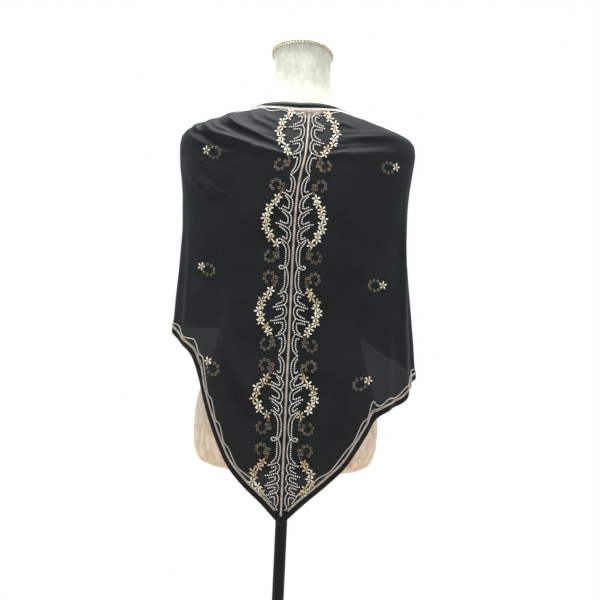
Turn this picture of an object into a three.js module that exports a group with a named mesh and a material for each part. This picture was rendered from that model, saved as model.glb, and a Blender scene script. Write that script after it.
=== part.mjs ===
// A triangular evening stole of sheer black chiffon, round the shoulders of a limbless dress form on a stand.
// Millimetres. +Z is up, +Y is the front of the form, -X is its left. The origin is on the floor by the pole.
import * as THREE from "three";

// Cloth sizes
const CHIFFON_THICK = 1.2;
const BINDING_THICK = 2.2;
const BINDING_WIDE = 9;
const SEAM_GAP = 0.3;
const STRIP_LIMIT = 0.49; // towards the tips each binding takes no more than this share of a column
const SPINE_BAND = { wide: 6, thick: 1.6, columns: 2 };

// How the cloth lies over the shoulders of the form
const SHOULDER_FALL = 1320; // above this height the cloth follows the form
const SHOULDER_LIFT = 2.9;
const SHOULDER_EASE = { left: 4, right: 1.6, back: 1.2, front: 1.2 };
const FAN_FADE = 0.07; // share of a column in which it swings from the neck edge to its own fall
const TOP_STEP = 0.45; // columns step more finely over the shoulder than at the hem
const CROSSING = { start: 10.4, end: 12.4, lift: 9 }; // the right end lies over the left one in front

// Stand sizes
const POLE_RADIUS = 11;
const FLANGE = { radius: 42, thick: 9, neck: 17, neckLong: 26 };
const BASE = { radius: 165, thick: 9, hub: 26, hubHigh: 34, foot: 4 };

// Neck braid of the form
const NECK_TILT = 9; // degrees: the cut top of the neck is higher at the back
const NECK_TILT_FROM = 1430;
const BRAID = { wide: 8.5, thick: 4, below: 3 };

// Round counts of the solids
const FORM_SIDES = 44;
const BRAID_SIDES = 40;
const ROUND_SIDES = 40;
const BACK_GRID = { across: 60, down: 20 };
const END_GRID = { across: 16, down: 20 };
const TIP_STEPS = 3;

// Dress form, from the hip edge to the top of the neck: half width, and depth behind and before the axis.
const FORM_SECTIONS = [
  { height: 745, side: 144, back: 82, front: 76 },
  { height: 752, side: 157, back: 92, front: 84 },
  { height: 766, side: 164, back: 99, front: 90 },
  { height: 786, side: 168, back: 105, front: 94 },
  { height: 815, side: 169, back: 109, front: 96 },
  { height: 848, side: 167, back: 110, front: 97 },
  { height: 880, side: 160, back: 107, front: 96 },
  { height: 914, side: 149, back: 100, front: 93 },
  { height: 943, side: 140, back: 92, front: 90 },
  { height: 975, side: 132, back: 84, front: 88 },
  { height: 1020, side: 125, back: 78, front: 90 },
  { height: 1088, side: 133, back: 86, front: 106 },
  { height: 1158, side: 153, back: 97, front: 119 },
  { height: 1217, side: 182, back: 102, front: 115 },
  { height: 1258, side: 198, back: 103, front: 109 },
  { height: 1290, side: 208, back: 101, front: 103 },
  { height: 1320, side: 214, back: 95, front: 94 },
  { height: 1335, side: 212, back: 89, front: 86 },
  { height: 1345, side: 205, back: 85, front: 80 },
  { height: 1353, side: 191, back: 82, front: 75 },
  { height: 1362, side: 170, back: 78, front: 69 },
  { height: 1371, side: 147, back: 74, front: 64 },
  { height: 1378, side: 125, back: 71, front: 60 },
  { height: 1385, side: 102, back: 68, front: 57 },
  { height: 1395, side: 80, back: 65, front: 54 },
  { height: 1406, side: 70, back: 62, front: 53 },
  { height: 1420, side: 61.5, back: 58, front: 52 },
  { height: 1440, side: 55, back: 53, front: 52 },
  { height: 1466, side: 52, back: 50, front: 53 },
  { height: 1488, side: 52.5, back: 48, front: 56 },
  { height: 1509, side: 54, back: 48, front: 58 },
];

// Where the cloth hangs clear of the form: distance out to the left, right, back and front.
const HANGING_RINGS = [
  { height: 640, left: 214, right: 230, back: 112, front: 126 },
  { height: 745, left: 214, right: 230, back: 115.5, front: 126 },
  { height: 815, left: 214, right: 230, back: 117, front: 126 },
  { height: 848, left: 214, right: 230, back: 117, front: 126 },
  { height: 909, left: 215, right: 227, back: 115, front: 126 },
  { height: 943, left: 214, right: 223, back: 113, front: 126 },
  { height: 975, left: 212, right: 220, back: 111.5, front: 126 },
  { height: 1020, left: 207, right: 215, back: 111, front: 127 },
  { height: 1088, left: 203, right: 209, back: 111, front: 128 },
  { height: 1158, left: 202, right: 206, back: 111, front: 126.5 },
  { height: 1217, left: 206, right: 205, back: 110, front: 121 },
  { height: 1258, left: 210, right: 207, back: 108.5, front: 114.5 },
  { height: 1290, left: 215, right: 211, back: 105, front: 107 },
];

// Columns of the cloth from the spine to each tip: turn from the back and height, of the neck edge and the hem.
const RIGHT_STATIONS = [
  { topTurn: 0, topHeight: 1395, hemTurn: 0, hemHeight: 666 },
  { topTurn: 27, topHeight: 1397, hemTurn: 9.5, hemHeight: 704 },
  { topTurn: 48, topHeight: 1397, hemTurn: 19.3, hemHeight: 738 },
  { topTurn: 57, topHeight: 1391, hemTurn: 27, hemHeight: 765 },
  { topTurn: 62, topHeight: 1385, hemTurn: 33.5, hemHeight: 798 },
  { topTurn: 66, topHeight: 1379.5, hemTurn: 38, hemHeight: 823 },
  { topTurn: 70, topHeight: 1374, hemTurn: 42.5, hemHeight: 849 },
  { topTurn: 75, topHeight: 1369, hemTurn: 50, hemHeight: 864 },
  { topTurn: 81, topHeight: 1364, hemTurn: 61, hemHeight: 875 },
  { topTurn: 90, topHeight: 1357, hemTurn: 77, hemHeight: 905 },
  { topTurn: 101, topHeight: 1346, hemTurn: 90, hemHeight: 916 },
  { topTurn: 118, topHeight: 1316, hemTurn: 108, hemHeight: 930 },
  { topTurn: 135, topHeight: 1270, hemTurn: 126, hemHeight: 948 },
  { topTurn: 156, topHeight: 1208, hemTurn: 148, hemHeight: 984 },
  { topTurn: 180, topHeight: 1150, hemTurn: 176, hemHeight: 993 },
  { topTurn: 205, topHeight: 1085, hemTurn: 203, hemHeight: 994 },
  { topTurn: 225, topHeight: 1030, hemTurn: 224, hemHeight: 996 },
  { topTurn: 236, topHeight: 1012, hemTurn: 236, hemHeight: 997 },
];
const LEFT_STATIONS = [
  { topTurn: 0, topHeight: 1395, hemTurn: 0, hemHeight: 666 },
  { topTurn: 27, topHeight: 1397, hemTurn: 9.5, hemHeight: 702 },
  { topTurn: 48, topHeight: 1397, hemTurn: 18.5, hemHeight: 731 },
  { topTurn: 57, topHeight: 1391, hemTurn: 26, hemHeight: 760 },
  { topTurn: 62, topHeight: 1385, hemTurn: 32, hemHeight: 795 },
  { topTurn: 66, topHeight: 1379.5, hemTurn: 37, hemHeight: 830 },
  { topTurn: 70, topHeight: 1374, hemTurn: 41.5, hemHeight: 866 },
  { topTurn: 75, topHeight: 1369, hemTurn: 46, hemHeight: 908 },
  { topTurn: 81, topHeight: 1364, hemTurn: 53, hemHeight: 944 },
  { topTurn: 90, topHeight: 1357, hemTurn: 65, hemHeight: 963 },
  { topTurn: 101, topHeight: 1346, hemTurn: 90, hemHeight: 992 },
  { topTurn: 118, topHeight: 1316, hemTurn: 108, hemHeight: 987 },
  { topTurn: 135, topHeight: 1270, hemTurn: 126, hemHeight: 986 },
  { topTurn: 156, topHeight: 1208, hemTurn: 148, hemHeight: 988 },
  { topTurn: 180, topHeight: 1150, hemTurn: 176, hemHeight: 994 },
  { topTurn: 205, topHeight: 1085, hemTurn: 203, hemHeight: 997 },
  { topTurn: 225, topHeight: 1030, hemTurn: 224, hemHeight: 998 },
  { topTurn: 236, topHeight: 1013, hemTurn: 236, hemHeight: 998 },
];
// The beaded spine leans to the right towards the nape: distance from the middle of the back.
const SPINE_LEAN = [
  { height: 660, across: 0 },
  { height: 1100, across: 0 },
  { height: 1180, across: 1 },
  { height: 1230, across: 3 },
  { height: 1262, across: 7 },
  { height: 1300, across: 14 },
  { height: 1340, across: 16 },
  { height: 1400, across: 17 },
];
const SIDE_SPLIT = 10.6; // station where the back stretch ends and a front end begins
const TIP = RIGHT_STATIONS.length - 1;

// Largest folds: soft ridges along a line from one turn and height to another. Some run past the hem.
const ARC_PER_DEGREE = 2.9; // cloth to a degree of turn, for measuring across a fold
const FOLDS = [
  { fromTurn: -74, fromHeight: 1372, toTurn: -6, toHeight: 1290, wide: 9, high: 9 },
  { fromTurn: -66, fromHeight: 1386, toTurn: -12, toHeight: 1325, wide: 8, high: 6 },
  { fromTurn: -78, fromHeight: 1352, toTurn: -30, toHeight: 1290, wide: 9, high: 6 },
  { fromTurn: 12, fromHeight: 1296, toTurn: 52, toHeight: 1316, wide: 9, high: 5 },
  { fromTurn: 16, fromHeight: 1330, toTurn: 66, toHeight: 1352, wide: 8, high: 4 },
  { fromTurn: -74, fromHeight: 1290, toTurn: -38, toHeight: 1210, wide: 12, high: 5 },
  { fromTurn: -46, fromHeight: 1000, toTurn: -16, toHeight: 760, wide: 15, high: 7 },
  { fromTurn: -36, fromHeight: 1020, toTurn: -8, toHeight: 820, wide: 13, high: 5 },
  { fromTurn: -84, fromHeight: 1230, toTurn: -72, toHeight: 860, wide: 14, high: 7 },
  { fromTurn: 74, fromHeight: 1250, toTurn: 62, toHeight: 760, wide: 15, high: 9 },
  { fromTurn: 54, fromHeight: 1020, toTurn: 45, toHeight: 740, wide: 12, high: 6 },
  { fromTurn: 90, fromHeight: 1150, toTurn: 84, toHeight: 760, wide: 12, high: 7 },
  { fromTurn: 112, fromHeight: 1270, toTurn: 120, toHeight: 840, wide: 18, high: 9 },
  { fromTurn: -112, fromHeight: 1270, toTurn: -120, toHeight: 880, wide: 18, high: 9 },
  { fromTurn: 136, fromHeight: 1250, toTurn: 218, toHeight: 1030, wide: 16, high: 7 },
  { fromTurn: 140, fromHeight: 1160, toTurn: 200, toHeight: 1010, wide: 14, high: 5 },
  { fromTurn: -138, fromHeight: 1230, toTurn: -176, toHeight: 1060, wide: 16, high: 6 },
];

const radians = THREE.MathUtils.degToRad;
const { clamp, euclideanModulo, lerp, smoothstep } = THREE.MathUtils;

// A smooth curve through one column of a table against rising places, with no overshoot between rows.
function curveThrough(places, values) {
  const count = places.length;
  const rise = [];
  for (let i = 0; i + 1 < count; i++) {
    rise.push((values[i + 1] - values[i]) / (places[i + 1] - places[i]));
  }
  const slope = values.map((_, i) => {
    if (i === 0) return rise[0];
    if (i === count - 1) return rise[count - 2];
    const before = rise[i - 1];
    const after = rise[i];
    return before * after <= 0 ? 0 : (2 * before * after) / (before + after);
  });
  return (place) => {
    let i = 0;
    while (i + 2 < count && place > places[i + 1]) i++;
    const span = places[i + 1] - places[i];
    const s = clamp((place - places[i]) / span, 0, 1);
    const bend = s * s * (3 - 2 * s);
    const leave = s * (1 - s) * (1 - s) * span * slope[i];
    const reach = s * s * (1 - s) * span * slope[i + 1];
    return lerp(values[i], values[i + 1], bend) + leave - reach;
  };
}

// One curve for each named column of a table.
function tableCurves(rows, places, columns) {
  const curves = {};
  for (const column of columns) {
    curves[column] = curveThrough(
      places,
      rows.map((row) => row[column]),
    );
  }
  return curves;
}

const heightsOf = (rows) => rows.map((row) => row.height);
const formCurves = tableCurves(FORM_SECTIONS, heightsOf(FORM_SECTIONS), ["side", "back", "front"]);

const shoulderRings = FORM_SECTIONS.filter((row) => row.height >= SHOULDER_FALL).map((row) => ({
  height: row.height + SHOULDER_LIFT,
  left: row.side + SHOULDER_EASE.left,
  right: row.side + SHOULDER_EASE.right,
  back: row.back + SHOULDER_EASE.back,
  front: row.front + SHOULDER_EASE.front,
}));
const clothRings = [...HANGING_RINGS, ...shoulderRings];
const ringCurves = tableCurves(clothRings, heightsOf(clothRings), ["left", "right", "back", "front"]);

const stationPlaces = RIGHT_STATIONS.map((_, i) => i);
const stationColumns = ["topTurn", "topHeight", "hemTurn", "hemHeight"];
const stationCurves = {
  right: tableCurves(RIGHT_STATIONS, stationPlaces, stationColumns),
  left: tableCurves(LEFT_STATIONS, stationPlaces, stationColumns),
};

// The smooth envelope of the cloth, before its folds.
function envelopePoint(turn, height) {
  const across = Math.sin(radians(turn));
  const behind = Math.cos(radians(turn));
  const side = across >= 0 ? ringCurves.right(height) : ringCurves.left(height);
  const depth = behind >= 0 ? ringCurves.back(height) : ringCurves.front(height);
  return new THREE.Vector3(side * across, -depth * behind, height);
}

function envelopeNormal(turn, height) {
  const along = envelopePoint(turn + 0.5, height).sub(envelopePoint(turn - 0.5, height));
  const down = envelopePoint(turn, height - 1).sub(envelopePoint(turn, height + 1));
  return down.cross(along).normalize();
}

// How far the folds stand out at a turn and height: each is a soft ridge that fades at both ends of its line.
function foldHeight(turn, height) {
  let high = 0;
  for (const fold of FOLDS) {
    const runAcross = (fold.toTurn - fold.fromTurn) * ARC_PER_DEGREE;
    const runUp = fold.toHeight - fold.fromHeight;
    const long = Math.hypot(runAcross, runUp);
    const across = (euclideanModulo(turn - fold.fromTurn + 180, 360) - 180) * ARC_PER_DEGREE;
    const up = height - fold.fromHeight;
    const along = (across * runAcross + up * runUp) / (long * long);
    const aside = (across * runUp - up * runAcross) / (long * fold.wide);
    if (along > 0 && along < 1) high += fold.high * Math.exp(-aside * aside) * Math.sin(Math.PI * along);
  }
  return high;
}

// A point of the cloth. station counts columns from the spine, + to the right.
// drop is 0 at the neck edge and 1 at the hem.
function clothPoint(station, drop) {
  const hand = station < 0 ? -1 : 1;
  const place = Math.abs(station);
  const curves = hand < 0 ? stationCurves.left : stationCurves.right;
  const hemTurn = curves.hemTurn(place);
  const swing = curves.topTurn(place) - hemTurn;
  const turn = hand * (hemTurn + swing * Math.exp(-drop / FAN_FADE));
  const share = drop * (TOP_STEP + (1 - TOP_STEP) * drop);
  const height = lerp(curves.topHeight(place), curves.hemHeight(place), share);
  const point = envelopePoint(turn, height);
  const crossing = hand > 0 ? CROSSING.lift * smoothstep(place, CROSSING.start, CROSSING.end) : 0;
  return point.addScaledVector(envelopeNormal(turn, height), foldHeight(turn, height) + crossing);
}

function clothNormal(station, drop) {
  const step = 0.01;
  const across = clothPoint(station + step, drop).sub(clothPoint(station - step, drop));
  const down = clothPoint(station, drop + step).sub(clothPoint(station, drop - step));
  return down.cross(across).normalize();
}

// The share of a column that a strip of the stated width takes, square to the neck edge or to the hem.
function stripShare(station, drop, wide) {
  const step = 0.02;
  const outward = station < 0 ? -step : step;
  const along = clothPoint(station + outward, drop).sub(clothPoint(station, drop)).normalize();
  const inside = drop > 0.5 ? drop - step : drop + step;
  const down = clothPoint(station, inside).sub(clothPoint(station, drop));
  return clamp((wide * step) / down.cross(along).length(), 0, STRIP_LIMIT);
}

function closedGeometry(points, index) {
  const position = points.flatMap((point) => point.toArray());
  const geometry = new THREE.BufferGeometry();
  geometry.setAttribute("position", new THREE.Float32BufferAttribute(position, 3));
  geometry.setIndex(index);
  geometry.computeVertexNormals();
  return geometry;
}

// A closed wall from a grid of points for the outer face and one for the inner face, joined round the rim.
function wallGeometry(outer, inner) {
  const columns = outer.length;
  const rows = outer[0].length;
  const outerAt = (i, j) => i * rows + j;
  const innerAt = (i, j) => columns * rows + i * rows + j;
  const index = [];
  const quad = (a, b, c, d) => index.push(a, b, c, a, c, d);
  for (let i = 0; i + 1 < columns; i++) {
    for (let j = 0; j + 1 < rows; j++) {
      quad(outerAt(i, j), outerAt(i, j + 1), outerAt(i + 1, j + 1), outerAt(i + 1, j));
      quad(innerAt(i, j), innerAt(i + 1, j), innerAt(i + 1, j + 1), innerAt(i, j + 1));
    }
    quad(outerAt(i, 0), outerAt(i + 1, 0), innerAt(i + 1, 0), innerAt(i, 0));
    quad(outerAt(i, rows - 1), innerAt(i, rows - 1), innerAt(i + 1, rows - 1), outerAt(i + 1, rows - 1));
  }
  for (let j = 0; j + 1 < rows; j++) {
    quad(outerAt(0, j), innerAt(0, j), innerAt(0, j + 1), outerAt(0, j + 1));
    const last = columns - 1;
    quad(outerAt(last, j), outerAt(last, j + 1), innerAt(last, j + 1), innerAt(last, j));
  }
  return closedGeometry([...outer.flat(), ...inner.flat()], index);
}

// A wall of cloth over rising stations. dropAt gives the drop of each row, stationAt shifts a row along the
// cloth, and raise moves the wall out.
function clothWall({ stations, down, dropAt, thick, raise = 0, stationAt = (station) => station }) {
  const outer = [];
  const inner = [];
  for (const column of stations) {
    const outerColumn = [];
    const innerColumn = [];
    for (let j = 0; j <= down; j++) {
      const station = stationAt(column, j / down);
      const drop = dropAt(station, j / down);
      const point = clothPoint(station, drop);
      const normal = clothNormal(station, drop);
      outerColumn.push(point.clone().addScaledVector(normal, raise + thick / 2));
      innerColumn.push(point.clone().addScaledVector(normal, raise - thick / 2));
    }
    outer.push(outerColumn);
    inner.push(innerColumn);
  }
  return wallGeometry(outer, inner);
}

// The chiffon lies between the bindings of the neck edge and the hem.
function panelDrop(station, share) {
  const top = stripShare(station, 0, BINDING_WIDE + SEAM_GAP);
  const bottom = 1 - stripShare(station, 1, BINDING_WIDE + SEAM_GAP);
  return lerp(top, bottom, share);
}
const neckBindingDrop = (station, share) => share * stripShare(station, 0, BINDING_WIDE);
const hemBindingDrop = (station, share) => 1 - (1 - share) * stripShare(station, 1, BINDING_WIDE);

// The last station, towards a tip, where the chiffon still shows between its two bindings.
function lastPanelStation(hand) {
  const least = 0.2;
  const shows = (place) => {
    const top = panelDrop(hand * place, 0);
    const bottom = panelDrop(hand * place, 1);
    return top < STRIP_LIMIT && 1 - bottom < STRIP_LIMIT && bottom - top > least;
  };
  let place = TIP;
  while (!shows(place)) place -= 0.05;
  return place;
}

// The station step that gives a stated width across the columns where they stand closest.
function stationsFor(wide, station) {
  const step = 0.02;
  const steps = [0, 0.25, 0.5, 0.75, 1].map((drop) =>
    clothPoint(station + step, drop).distanceTo(clothPoint(station, drop)),
  );
  return (wide * step) / Math.min(...steps);
}

const chiffon = new THREE.MeshStandardMaterial({ color: 0x1c1f21, roughness: 0.75 });
chiffon.transparent = true;
chiffon.opacity = 0.9;
const satin = new THREE.MeshStandardMaterial({ color: 0x0c0c0d, roughness: 0.5 });
const beadwork = new THREE.MeshStandardMaterial({ color: 0xb9a88c, roughness: 0.35, metalness: 0.4 });
const velvet = new THREE.MeshStandardMaterial({ color: 0xe6e0d2, roughness: 0.9 });
const goldBraid = new THREE.MeshStandardMaterial({ color: 0xc9ae73, roughness: 0.5, metalness: 0.5 });
const blackSteel = new THREE.MeshStandardMaterial({ color: 0x161617, roughness: 0.45, metalness: 0.6 });

function named(name, geometry, material) {
  const mesh = new THREE.Mesh(geometry, material);
  mesh.name = name;
  return mesh;
}

// Stole

const evenly = (from, to, steps) => Array.from({ length: steps + 1 }, (_, i) => lerp(from, to, i / steps));
const turnedOver = (stations) => stations.map((station) => -station).reverse();

// Bindings share the stations of the chiffon, so that their seams run side by side.
const backStations = evenly(-SIDE_SPLIT, SIDE_SPLIT, BACK_GRID.across);
function endStations(hand) {
  const start = SIDE_SPLIT + stationsFor(SEAM_GAP, SIDE_SPLIT);
  const places = evenly(start, lastPanelStation(hand), END_GRID.across);
  return hand > 0 ? places : turnedOver(places);
}
function tipStations(hand) {
  const places = evenly(lastPanelStation(hand), TIP, TIP_STEPS).slice(1);
  return hand > 0 ? places : turnedOver(places);
}
const allStations = [
  ...tipStations(-1),
  ...endStations(-1),
  ...backStations,
  ...endStations(1),
  ...tipStations(1),
];

function chiffonPanel(name, stations, down) {
  const geometry = clothWall({ stations, down, dropAt: panelDrop, thick: CHIFFON_THICK });
  return named(name, geometry, chiffon);
}

function neckBinding() {
  const geometry = clothWall({
    stations: allStations,
    down: 1,
    dropAt: neckBindingDrop,
    thick: BINDING_THICK,
  });
  return named("binding_neck_edge", geometry, satin);
}

// The two hem bindings meet in a mitre at the lowest point of the back.
function hemBinding(name, hand) {
  const mitre = stationsFor(SEAM_GAP / 2, 0);
  const places = [mitre, ...allStations.map((station) => hand * station).filter((place) => place > mitre)];
  places.sort((a, b) => a - b);
  const stations = hand > 0 ? places : turnedOver(places);
  const geometry = clothWall({ stations, down: 1, dropAt: hemBindingDrop, thick: BINDING_THICK });
  return named(name, geometry, satin);
}

// The thick beaded cord down the back, laid on the chiffon. Its columns are distances from its middle.
const spineLean = curveThrough(
  heightsOf(SPINE_LEAN),
  SPINE_LEAN.map((row) => row.across),
);
function beadSpine() {
  const half = SPINE_BAND.wide / 2;
  const end = 1 - stripShare(0, 1, BINDING_WIDE + 1);
  const stationAt = (offset, share) => {
    const drop = panelDrop(0, share);
    const step = 0.1;
    const middle = clothPoint(0, drop);
    const across = clothPoint(step, drop).distanceTo(middle) / step;
    return (spineLean(middle.z) + offset) / across;
  };
  const geometry = clothWall({
    stations: evenly(-half, half, SPINE_BAND.columns),
    down: BACK_GRID.down,
    stationAt,
    dropAt: (station, share) => Math.min(panelDrop(0, share), end),
    thick: SPINE_BAND.thick,
    raise: CHIFFON_THICK / 2 + SEAM_GAP + SPINE_BAND.thick / 2,
  });
  return named("bead_spine", geometry, beadwork);
}

// Dress form

// A point on the form's skin. The cut top of the neck tips, higher at the back.
function formPoint(turn, height, out = 0) {
  const across = Math.sin(radians(turn));
  const behind = Math.cos(radians(turn));
  const depth = behind >= 0 ? formCurves.back(height) : formCurves.front(height);
  const top = FORM_SECTIONS.at(-1).height;
  const tip = smoothstep(height, NECK_TILT_FROM, top) * Math.tan(radians(NECK_TILT));
  const y = -(depth + out) * behind;
  return new THREE.Vector3((formCurves.side(height) + out) * across, y, height - y * tip);
}

// A closed solid through rings of points, from the lowest ring to the highest, with flat ends.
function ringSolid(rings) {
  const sides = rings[0].length;
  const index = [];
  for (let i = 0; i + 1 < rings.length; i++) {
    for (let k = 0; k < sides; k++) {
      const next = (k + 1) % sides;
      const a = i * sides + k;
      const b = i * sides + next;
      index.push(a, b, b + sides, a, b + sides, a + sides);
    }
  }
  const last = (rings.length - 1) * sides;
  for (let k = 1; k + 1 < sides; k++) {
    index.push(0, k + 1, k);
    index.push(last, last + k, last + k + 1);
  }
  return closedGeometry(rings.flat(), index);
}

function ringOf(sides, pointAt) {
  return Array.from({ length: sides }, (_, k) => pointAt((360 * k) / sides));
}

function formTorso() {
  const rings = FORM_SECTIONS.map((row) => ringOf(FORM_SIDES, (turn) => formPoint(turn, row.height)));
  return named("form_torso", ringSolid(rings), velvet);
}

// The braid is a flat oval band round the cut top of the neck.
function neckBraid() {
  const top = FORM_SECTIONS.at(-1).height - BRAID.below;
  const section = [
    { out: 0, up: 0 },
    { out: 0.7, up: 0.12 },
    { out: 1, up: 0.5 },
    { out: 0.7, up: 0.88 },
    { out: 0, up: 1 },
  ];
  const rings = ringOf(BRAID_SIDES, (turn) =>
    section.map(({ out, up }) => {
      const height = top - BRAID.wide * (1 - up);
      return formPoint(turn, height, SEAM_GAP + 0.25 + BRAID.thick * out);
    }),
  );
  const sides = section.length;
  const index = [];
  for (let k = 0; k < BRAID_SIDES; k++) {
    const next = (k + 1) % BRAID_SIDES;
    for (let j = 0; j < sides; j++) {
      const above = (j + 1) % sides;
      const a = k * sides + j;
      const b = next * sides + j;
      const c = next * sides + above;
      const d = k * sides + above;
      index.push(a, b, c, a, c, d);
    }
  }
  return named("form_neck_braid", closedGeometry(rings.flat(), index), goldBraid);
}

// Stand

// A turned solid about the pole's axis, from (radius, height) pairs that start and end on the axis.
function turned(name, outline, material) {
  const points = outline.map(([radius, height]) => new THREE.Vector2(radius, height));
  const geometry = new THREE.LatheGeometry(points, ROUND_SIDES);
  geometry.rotateX(Math.PI / 2);
  return named(name, geometry, material);
}

const formBottom = FORM_SECTIONS[0].height;
const flangeTop = formBottom - SEAM_GAP;
const flangeBottom = flangeTop - FLANGE.thick - FLANGE.neckLong;
const hubTop = BASE.hubHigh;

function standFlange() {
  return turned(
    "stand_flange",
    [
      [0, flangeBottom],
      [FLANGE.neck, flangeBottom],
      [FLANGE.neck, flangeTop - FLANGE.thick],
      [FLANGE.radius, flangeTop - FLANGE.thick],
      [FLANGE.radius, flangeTop],
      [0, flangeTop],
    ],
    blackSteel,
  );
}

function standPole() {
  return turned(
    "stand_pole",
    [
      [0, hubTop + SEAM_GAP],
      [POLE_RADIUS, hubTop + SEAM_GAP],
      [POLE_RADIUS, flangeBottom - SEAM_GAP],
      [0, flangeBottom - SEAM_GAP],
    ],
    blackSteel,
  );
}

function standBase() {
  return turned(
    "stand_base",
    [
      [0, 0],
      [BASE.radius - BASE.foot, 0],
      [BASE.radius, BASE.foot],
      [BASE.radius - BASE.foot, BASE.thick],
      [BASE.hub, BASE.thick + BASE.foot],
      [BASE.hub - BASE.foot, hubTop],
      [0, hubTop],
    ],
    blackSteel,
  );
}

const stole = new THREE.Group();
stole.add(
  chiffonPanel("chiffon_back", backStations, BACK_GRID.down),
  chiffonPanel("chiffon_right_end", endStations(1), END_GRID.down),
  chiffonPanel("chiffon_left_end", endStations(-1), END_GRID.down),
  neckBinding(),
  hemBinding("binding_hem_right", 1),
  hemBinding("binding_hem_left", -1),
  beadSpine(),
);

const dressForm = new THREE.Group();
dressForm.add(formTorso(), neckBraid(), standFlange(), standPole(), standBase());

const stoleOnForm = new THREE.Group();
stoleOnForm.add(stole, dressForm);

export default stoleOnForm;
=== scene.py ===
import math

import bpy
import numpy as np
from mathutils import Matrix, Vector


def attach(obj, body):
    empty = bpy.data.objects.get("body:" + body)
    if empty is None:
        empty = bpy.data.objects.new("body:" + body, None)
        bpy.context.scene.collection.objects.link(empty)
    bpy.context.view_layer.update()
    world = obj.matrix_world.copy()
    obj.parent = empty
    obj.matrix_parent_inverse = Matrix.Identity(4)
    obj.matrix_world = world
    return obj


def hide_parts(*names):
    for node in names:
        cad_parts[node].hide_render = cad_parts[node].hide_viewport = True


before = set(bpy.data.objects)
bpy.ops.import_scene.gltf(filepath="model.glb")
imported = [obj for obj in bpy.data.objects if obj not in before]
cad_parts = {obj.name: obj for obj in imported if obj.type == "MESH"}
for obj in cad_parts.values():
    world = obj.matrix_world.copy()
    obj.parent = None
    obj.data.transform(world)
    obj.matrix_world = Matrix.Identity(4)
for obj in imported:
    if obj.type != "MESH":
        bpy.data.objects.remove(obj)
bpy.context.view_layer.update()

print("frame loaded:", sorted(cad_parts))

metresPerMm = 0.001
seed = np.random.default_rng(7)

# Dress form: height, half width, depth behind and before the pole's axis, in millimetres
formSections = [
    (745, 144, 82, 76),
    (752, 157, 92, 84),
    (766, 164, 99, 90),
    (786, 168, 105, 94),
    (815, 169, 109, 96),
    (848, 167, 110, 97),
    (880, 160, 107, 96),
    (914, 149, 100, 93),
    (943, 140, 92, 90),
    (975, 132, 84, 88),
    (1020, 125, 78, 90),
    (1088, 133, 86, 106),
    (1158, 153, 97, 119),
    (1217, 182, 102, 115),
    (1258, 198, 103, 109),
    (1290, 208, 101, 103),
    (1320, 214, 95, 94),
    (1335, 212, 89, 86),
    (1345, 205, 85, 80),
    (1353, 191, 82, 75),
    (1362, 170, 78, 69),
    (1371, 147, 74, 64),
    (1378, 125, 71, 60),
    (1385, 102, 68, 57),
    (1395, 80, 65, 54),
    (1406, 70, 62, 53),
    (1420, 61.5, 58, 52),
    (1440, 55, 53, 52),
    (1466, 52, 50, 53),
    (1488, 52.5, 48, 56),
    (1509, 54, 48, 58),
]
neckTilt = {"degrees": 9, "start": 1430, "top": 1509}

# Cloth hanging clear of the form: height, and distance out to the left, right, back and front
hangingRings = [
    (640, 214, 230, 112, 126),
    (745, 214, 230, 115.5, 126),
    (815, 214, 230, 117, 126),
    (848, 214, 230, 117, 126),
    (909, 215, 227, 115, 126),
    (943, 214, 223, 113, 126),
    (975, 212, 220, 111.5, 126),
    (1020, 207, 215, 111, 127),
    (1088, 203, 209, 111, 128),
    (1158, 202, 206, 111, 126.5),
    (1217, 206, 205, 110, 121),
    (1258, 210, 207, 108.5, 114.5),
    (1290, 215, 211, 105, 107),
]
shoulder = {"fall": 1320, "lift": 2.9, "left": 4, "right": 1.6, "back": 1.2, "front": 1.2}

# Columns of the cloth from the spine to each tip: turn and height at the neck edge, then at the hem
rightStations = [
    (0, 1395, 0, 666),
    (27, 1397, 9.5, 704),
    (48, 1397, 19.3, 738),
    (57, 1391, 27, 765),
    (62, 1385, 33.5, 798),
    (66, 1379.5, 38, 823),
    (70, 1374, 42.5, 849),
    (75, 1369, 50, 864),
    (81, 1364, 61, 875),
    (90, 1357, 77, 905),
    (101, 1346, 90, 916),
    (118, 1316, 108, 930),
    (135, 1270, 126, 948),
    (156, 1208, 148, 984),
    (180, 1150, 176, 993),
    (205, 1085, 203, 994),
    (225, 1030, 224, 996),
    (236, 1012, 236, 997),
]
leftStations = [
    (0, 1395, 0, 666),
    (27, 1397, 9.5, 702),
    (48, 1397, 18.5, 731),
    (57, 1391, 26, 760),
    (62, 1385, 32, 795),
    (66, 1379.5, 37, 830),
    (70, 1374, 41.5, 866),
    (75, 1369, 46, 908),
    (81, 1364, 53, 944),
    (90, 1357, 65, 963),
    (101, 1346, 90, 992),
    (118, 1316, 108, 987),
    (135, 1270, 126, 986),
    (156, 1208, 148, 988),
    (180, 1150, 176, 994),
    (205, 1085, 203, 997),
    (225, 1030, 224, 998),
    (236, 1013, 236, 998),
]
tipStation = len(rightStations) - 1
fanFade = 0.07
topStep = 0.45
crossing = {"start": 10.4, "end": 12.4, "lift": 9}

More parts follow.
